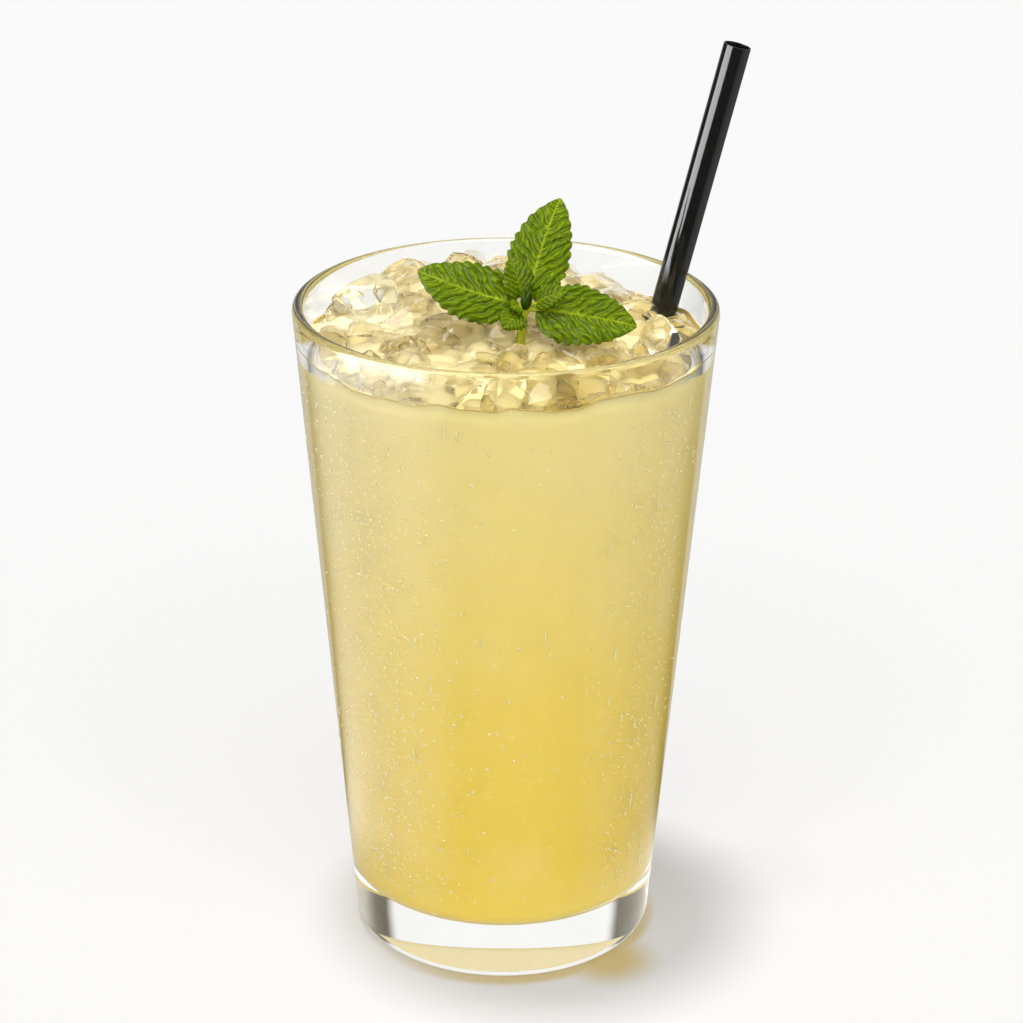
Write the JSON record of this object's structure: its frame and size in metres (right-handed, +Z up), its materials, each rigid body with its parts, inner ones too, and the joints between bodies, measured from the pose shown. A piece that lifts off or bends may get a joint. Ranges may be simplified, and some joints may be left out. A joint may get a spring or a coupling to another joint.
{
  "type": "glass of lemonade with crushed ice, mint and straw",
  "caption": "Conical glass tumbler filled with cloudy lemonade and crushed ice, with a mint sprig on top and a straight straw leaning on the lip.",
  "frame": {"origin": "middle of the glass's base, on the surface it stands on", "axes": "+Z up along the glass's axis; the mint sprig faces -Y and the straw leans towards +X"},
  "size_m": [0.0936, 0.0878, 0.1921],
  "materials": {
    "clear_glass": "clear pressed glass, polished, with a thick clear base and fine condensation outside",
    "lemonade": "cloudy pale yellow drink, paler towards its top",
    "ice": "wet rounded crushed ice, translucent, tinted by the drink",
    "straw_plastic": "plain black, glossy",
    "mint_leaf": "fresh green leaf, puckered between pale veins, satin"
  },
  "bodies": {
    "root": {"glass": "clear_glass", "lemonade": "lemonade", "crushed_ice": "ice", "straw": "straw_plastic", "mint_sprig": "mint_leaf"}
  },
  "joints": []
}
